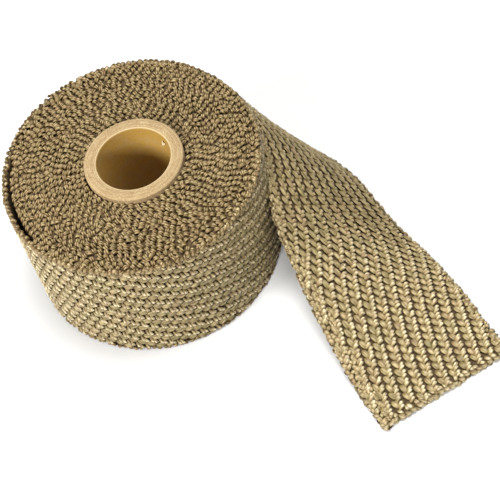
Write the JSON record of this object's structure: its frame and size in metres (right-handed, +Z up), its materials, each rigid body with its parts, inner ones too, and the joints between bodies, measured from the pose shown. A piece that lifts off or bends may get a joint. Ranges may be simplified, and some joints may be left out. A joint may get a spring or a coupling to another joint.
{
  "type": "exhaust heat wrap",
  "caption": "Roll of woven basalt-fibre heat wrap tape on a cardboard core, standing on end, with its free end turned over and laid flat beside it.",
  "frame": {"origin": "on the floor, under the middle of the box round the roll and its free end", "axes": "+Z up along the roll's axis, the free end laid out to the right (+X) and the front (-Y)"},
  "size_m": [0.1488, 0.1436, 0.0513],
  "materials": {
    "cardboard": "matt wound board",
    "woven_basalt": "coarse twill of silky khaki-gold basalt yarn"
  },
  "bodies": {
    "root": {"core_tube": "cardboard", "heat_wrap": "woven_basalt"}
  },
  "joints": []
}
